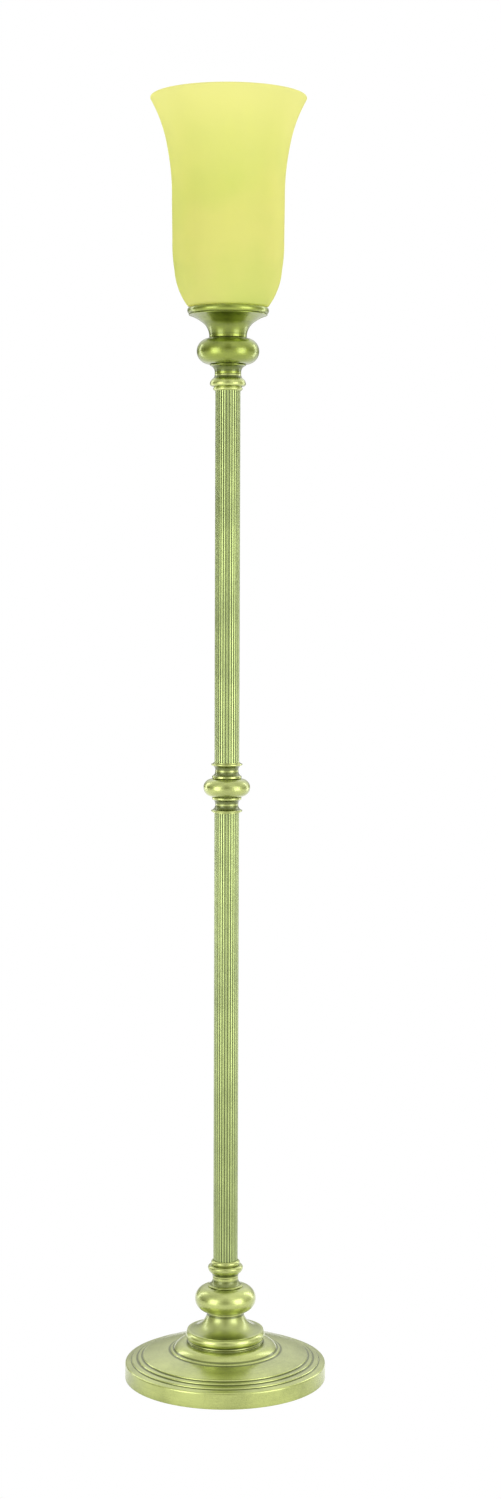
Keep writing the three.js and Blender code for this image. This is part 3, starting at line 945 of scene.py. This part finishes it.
def make_switch_key():
    """A moulded knob on a stem, ribbed for the fingers. It is spun upright and laid along +X."""
    low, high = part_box("switch_key")
    middle = (low.z + high.z) / 2
    reach = high.x - low.x
    ribbed = 4.2  # the knob is ribbed where it is wider than this
    line = refined(softened(key_outline(), 0.5), 0.8, closed=False)
    segments = KEY_RIBS * 8
    vertices = []
    rings = []
    for point in line:
        ring = []
        for step in range(1 if point.x < ON_AXIS else segments):
            angle = 2 * math.pi * step / segments
            rib = RIB_DEPTH * (0.5 - 0.5 * math.cos(KEY_RIBS * angle)) if point.x > ribbed else 0
            radius = (point.x - rib) * MM
            ring.append(len(vertices))
            vertices.append((
                low.x + point.y / KEY_LENGTH * reach,
                radius * math.cos(angle),
                middle + radius * math.sin(angle),
            ))
        rings.append(ring)
    settle(finished("switch_key_moulded", vertices, skinned(rings, closed=False)), "switch_key")


settle_spun("drawn", socket_cap_outline(), "socket_cap", 160, soft=0.25, spacing=1)
make_socket_shell()
make_switch_key()
settle_spun("cut", [(0, 0), (124.5, 0), (124.5, 2), (0, 2)], "felt_pad", 192, soft=0.7)
settle_spun("cut", washer(43.5, 34.5, 1), "shade_gasket", 160, soft=0.3)
settle_spun("pressed", washer(12.5, HOLE, 1.6), "holder_washer", 96, soft=0.3)

# ---- CAD pieces that stay ---------------------------------------------------------------------

for node, piece in frame["nodes"].items():
    if not piece.hide_render:
        for material_slot in piece.material_slots:
            material_slot.material = materials[LOOK_OF_SLOT[slot_of[node]]]

# ---- floor and light --------------------------------------------------------------------------

# The lamp is lit by this studio, but the camera sees plain white behind it and below it.

WHITE = (1, 1, 1, 1)
GREEN_TINT = (0.88, 0.92, 0.62, 1)  # of the dim parts of the studio
FRONT_LIGHT = 0.8  # strengths of the studio in front of, beside and behind the lamp
SIDE_LIGHT = 0.3
BACK_LIGHT = 0.34
UNEVENNESS = 0.14  # less on the left, more on the right
GAP_DEPTH = 0.9  # share of the light that is missing in the gap behind the camera
HIGH_LIGHT = 0.85  # added from above
FLOOR_GLOW = 0.08
LIGHT_AIM = (0, 0, 0.85)

# Place, width and height in m, and power in W.
SOFTBOXES = {
    "left_softbox": ((-2.0, -1.8, 0.9), 1.5, 2.0, 26),
    "right_softbox": ((2.1, -1.6, 0.9), 1.5, 2.0, 26),
    "left_rim_light": ((-2.2, 1.5, 1.3), 0.5, 2.6, 12),
    "right_rim_light": ((2.2, 1.5, 1.3), 0.5, 2.6, 12),
}


def white_to_camera(tree, lighting, white, output):
    """What the camera sees directly is white; everything else is lit by `lighting`."""
    seen = add(tree, "ShaderNodeLightPath").outputs["Is Camera Ray"]
    both = add(tree, "ShaderNodeMixShader", {0: seen, 1: lighting.outputs[0], 2: white.outputs[0]})
    tree.links.new(both.outputs[0], tree.nodes[output].inputs["Surface"])


def make_floor():
    half = 12
    corners = [(-half, -half, 0), (half, -half, 0), (half, half, 0), (-half, half, 0)]
    floor = finished("floor", corners, [(0, 1, 2, 3)])
    material, tree, surface = blank("floor")
    surface.inputs["Base Color"].default_value = (0.85, 0.85, 0.85, 1)
    surface.inputs["Roughness"].default_value = 0.8
    surface.inputs["Specular IOR Level"].default_value = 0.1
    surface.inputs["Emission Color"].default_value = WHITE
    surface.inputs["Emission Strength"].default_value = FLOOR_GLOW
    white = add(tree, "ShaderNodeEmission", {"Color": WHITE, "Strength": 1.0})
    white_to_camera(tree, surface, white, "Material Output")
    floor.data.materials.append(material)


def make_softbox(name, place, width, height, power):
    data = bpy.data.lights.new(name, "AREA")
    data.shape = "RECTANGLE"
    data.size = width
    data.size_y = height
    data.energy = power
    light = bpy.data.objects.new(name, data)
    light.location = place
    towards_lamp = Vector(LIGHT_AIM) - Vector(place)
    light.rotation_euler = towards_lamp.to_track_quat("-Z", "Y").to_euler()
    bpy.context.scene.collection.objects.link(light)


def studio_strength(tree):
    """How bright the studio is in each direction: brightest in front of the lamp and above it. A
    dark upright gap behind the camera gives round pieces a dark middle between two highlights."""
    direction = add(tree, "ShaderNodeTexCoord").outputs["Generated"]
    x, y, z = add(tree, "ShaderNodeSeparateXYZ", {0: direction}).outputs
    flat = length(tree, x, y)
    across = maths(tree, "DIVIDE", x, flat)
    away = maths(tree, "DIVIDE", y, flat)
    sides = spread(tree, away, -0.95, -0.25, FRONT_LIGHT, SIDE_LIGHT)
    uneven = maths(tree, "ADD", sides, spread(tree, across, -0.9, 0.9, -UNEVENNESS, UNEVENNESS))
    around = maths(tree, "ADD", uneven, spread(tree, away, 0.5, 0.9, 0.0, BACK_LIGHT - SIDE_LIGHT))
    narrow = spread(tree, maths(tree, "ABSOLUTE", across), 0.12, 0.35, GAP_DEPTH, 0.0)
    level = maths(tree, "MULTIPLY", spread(tree, z, -0.02, 0.1), spread(tree, z, 0.7, 0.95, 1.0, 0.0))
    ahead = spread(tree, away, -0.4, -0.1, 1.0, 0.0)
    gap = maths(tree, "MULTIPLY", maths(tree, "MULTIPLY", narrow, ahead), level)
    shaded = maths(tree, "MULTIPLY", around, maths(tree, "SUBTRACT", 1.0, gap))
    high = spread(tree, z, 0.05, 0.55, 0.0, HIGH_LIGHT)
    above = maths(tree, "MULTIPLY", high, spread(tree, y, -0.4, 0.4, 0.5, 1.0))
    return maths(tree, "ADD", shaded, above)


def make_world():
    world = bpy.data.worlds.new("studio")
    world.use_nodes = True
    tree = world.node_tree
    strength = studio_strength(tree)
    tint = mixed(tree, spread(tree, strength, 0.15, 0.8), GREEN_TINT, WHITE)
    lighting = add(tree, "ShaderNodeBackground", {"Color": tint, "Strength": strength})
    white = add(tree, "ShaderNodeBackground", {"Color": WHITE, "Strength": 1.0})
    white_to_camera(tree, lighting, white, "World Output")
    bpy.context.scene.world = world


make_floor()
make_world()
for name, (place_of_light, width, height, power) in SOFTBOXES.items():
    make_softbox(name, place_of_light, width, height, power)
bpy.context.scene.view_settings.view_transform = "Standard"
